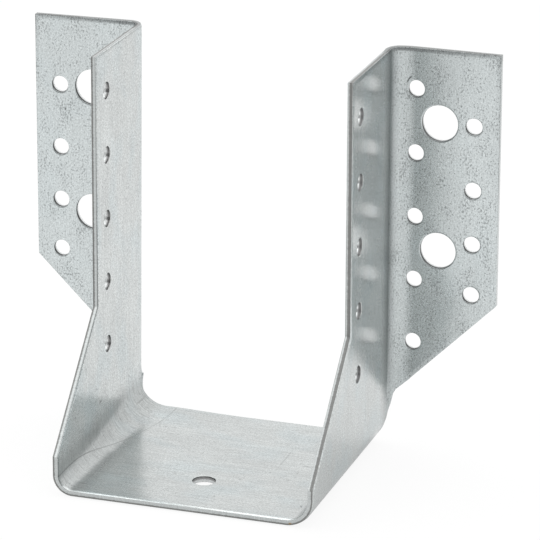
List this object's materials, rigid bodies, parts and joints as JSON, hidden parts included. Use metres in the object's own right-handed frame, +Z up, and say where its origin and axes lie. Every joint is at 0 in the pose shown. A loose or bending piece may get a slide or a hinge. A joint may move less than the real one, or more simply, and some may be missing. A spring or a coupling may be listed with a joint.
{
  "type": "joist hanger",
  "caption": "Folded sheet-steel hanger: a flat seat and two tapering cheeks hold the end of a joist, and two outward flanges fix it to the face of a header beam.",
  "frame": {"origin": "in the header plane, on the symmetry plane, at the level of the seat's underside", "axes": "+Y points at the header, +Z up along the cheeks, +X to the right seen from the joist's side; the joist comes in from -Y"},
  "size_m": [0.147, 0.077, 0.125],
  "materials": {
    "galvanised_steel": "satin hot-dip galvanised sheet with fine rolling grain"
  },
  "bodies": {
    "root": {"joist_hanger": "galvanised_steel"}
  },
  "joints": []
}
